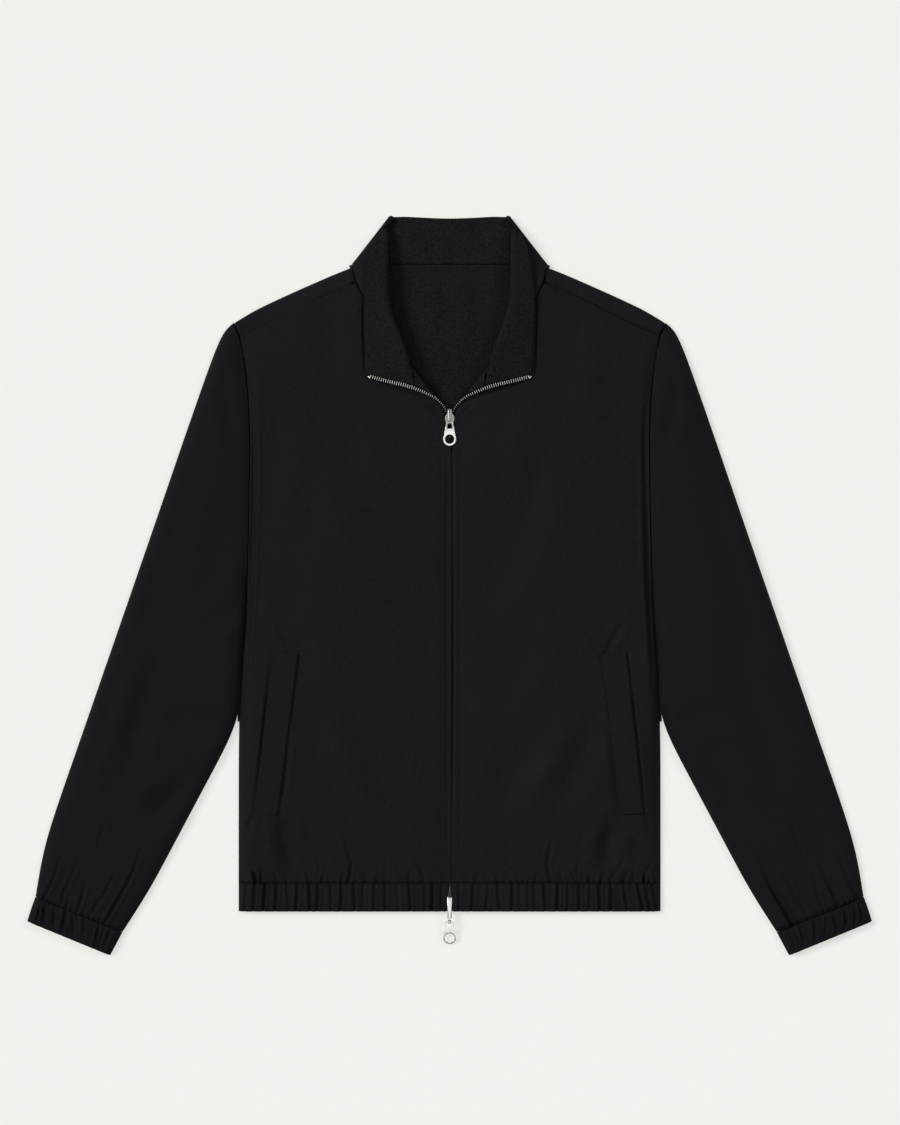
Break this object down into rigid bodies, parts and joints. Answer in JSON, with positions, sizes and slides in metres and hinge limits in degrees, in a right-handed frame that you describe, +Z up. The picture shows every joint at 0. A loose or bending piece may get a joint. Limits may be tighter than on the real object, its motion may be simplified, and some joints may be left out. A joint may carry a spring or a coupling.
{
  "type": "bomber jacket",
  "caption": "Zip-front blouson laid flat on its back, stand collar turned out, slanted welt pockets, gathered cuffs and hem band.",
  "frame": {"origin": "middle of the outline's bounding box, on the surface that the jacket lies on", "axes": "+X to the right seen from above (the wearer's left side), +Y from hem to collar, +Z up, out of the front"},
  "size_m": [0.8886, 0.7792, 0.0241],
  "materials": {
    "shell": "smooth matte woven shell, near black with a faint violet cast",
    "band_cloth": "the shell cloth doubled over elastic and gathered",
    "lining": "black marl jersey lining",
    "tape": "black woven zip tape",
    "metal": "bright silver zip metal"
  },
  "bodies": {
    "jacket": {"back": "shell", "hem_back": "band_cloth", "lining_back": "lining", "front_left": "shell", "sleeve_left": "shell", "sleeve_under_left": "shell", "cuff_left": "band_cloth", "hem_front_left": "band_cloth", "pocket_welt_left": "shell", "lining_front_left": "lining", "zip_tape_left": "tape", "zip_stop_left": "metal", "front_right": "shell", "sleeve_right": "shell", "sleeve_under_right": "shell", "cuff_right": "band_cloth", "hem_front_right": "band_cloth", "pocket_welt_right": "shell", "lining_front_right": "lining", "zip_tape_right": "tape", "zip_stop_right": "metal", "collar_outer": "shell", "collar_inner": "lining", "zip_slider_top": "metal", "zip_slider_bottom": "metal"},
    "pull_top": {"zip_pull_top": "metal"},
    "pull_bottom": {"zip_pull_bottom": "metal"}
  },
  "joints": [
    {"name": "pull_top_hinge", "type": "hinge", "parent": "jacket", "child": "pull_top", "pos_m": [0, 0.17086, 0.0116], "axis": [-1, 0, 0], "range_deg": [0, 150]},
    {"name": "pull_bottom_hinge", "type": "hinge", "parent": "jacket", "child": "pull_bottom", "pos_m": [0, -0.35395, 0.0078], "axis": [-1, 0, 0], "range_deg": [0, 150]}
  ]
}
